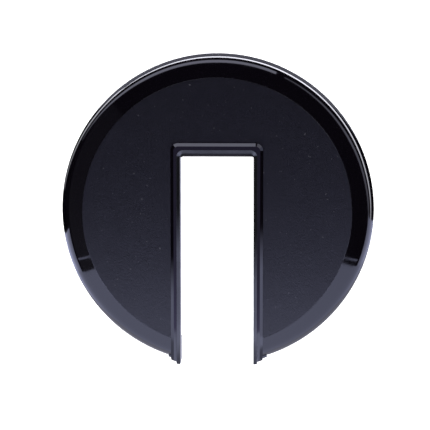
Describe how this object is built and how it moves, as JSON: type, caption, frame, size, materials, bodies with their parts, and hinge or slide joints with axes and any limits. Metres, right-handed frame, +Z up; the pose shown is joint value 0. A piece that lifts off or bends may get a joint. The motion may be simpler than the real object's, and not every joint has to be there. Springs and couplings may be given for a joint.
{
  "type": "desk grommet",
  "caption": "Round black cable grommet for a desk hole, with an open-ended slot edged by a raised bead, a sliding shutter and sprung clips on its sleeve.",
  "frame": {"origin": "centre of the desk hole, on the desk surface", "axes": "+Z up out of the desk, along the sleeve's axis; the slot opens towards -Y; +X to the right seen from the slot's mouth"},
  "size_m": [0.1, 0.0987, 0.0356],
  "materials": {
    "cover_abs": "fine spark texture on the flat field, polished bevel, rim and bead",
    "liner_abs": "polished",
    "base_plastic": "as moulded, satin",
    "pad_foam": "fine closed cell foam",
    "gate_plastic": "satin",
    "spring_steel": "rolled strip",
    "screw_steel": "zinc plated"
  },
  "bodies": {
    "housing": {"cover_plate": "cover_abs", "slot_liner": "liner_abs", "rim_pad": "pad_foam", "base_sleeve": "base_plastic", "guide_rail_left": "base_plastic", "guide_rail_right": "base_plastic", "rail_screws": "screw_steel", "base_screws": "screw_steel"},
    "gate": {"slide_gate": "gate_plastic", "gate_spring_left": "spring_steel", "gate_spring_right": "spring_steel"},
    "clip_rear_right": {"spring_clip_rear_right": "spring_steel"},
    "clip_rear_left": {"spring_clip_rear_left": "spring_steel"},
    "clip_front_left": {"spring_clip_front_left": "spring_steel"},
    "clip_front_right": {"spring_clip_front_right": "spring_steel"}
  },
  "joints": [
    {"name": "gate_slide", "type": "slide", "parent": "housing", "child": "gate", "axis": [0, -1, 0], "range_m": [0, 0.052]},
    {"name": "clip_flex_rear_right", "type": "hinge", "parent": "housing", "child": "clip_rear_right", "pos_m": [0.02715, 0.02715, -0.0198], "axis": [0.7071, -0.7071, 0], "range_deg": [0, 8.5], "stiffness_Nm_per_rad": 0.02},
    {"name": "clip_flex_rear_left", "type": "hinge", "parent": "housing", "child": "clip_rear_left", "pos_m": [-0.02715, 0.02715, -0.0198], "axis": [0.7071, 0.7071, 0], "range_deg": [0, 8.5], "stiffness_Nm_per_rad": 0.02},
    {"name": "clip_flex_front_left", "type": "hinge", "parent": "housing", "child": "clip_front_left", "pos_m": [-0.02715, -0.02715, -0.0198], "axis": [-0.7071, 0.7071, 0], "range_deg": [0, 8.5], "stiffness_Nm_per_rad": 0.02},
    {"name": "clip_flex_front_right", "type": "hinge", "parent": "housing", "child": "clip_front_right", "pos_m": [0.02715, -0.02715, -0.0198], "axis": [-0.7071, -0.7071, 0], "range_deg": [0, 8.5], "stiffness_Nm_per_rad": 0.02}
  ]
}
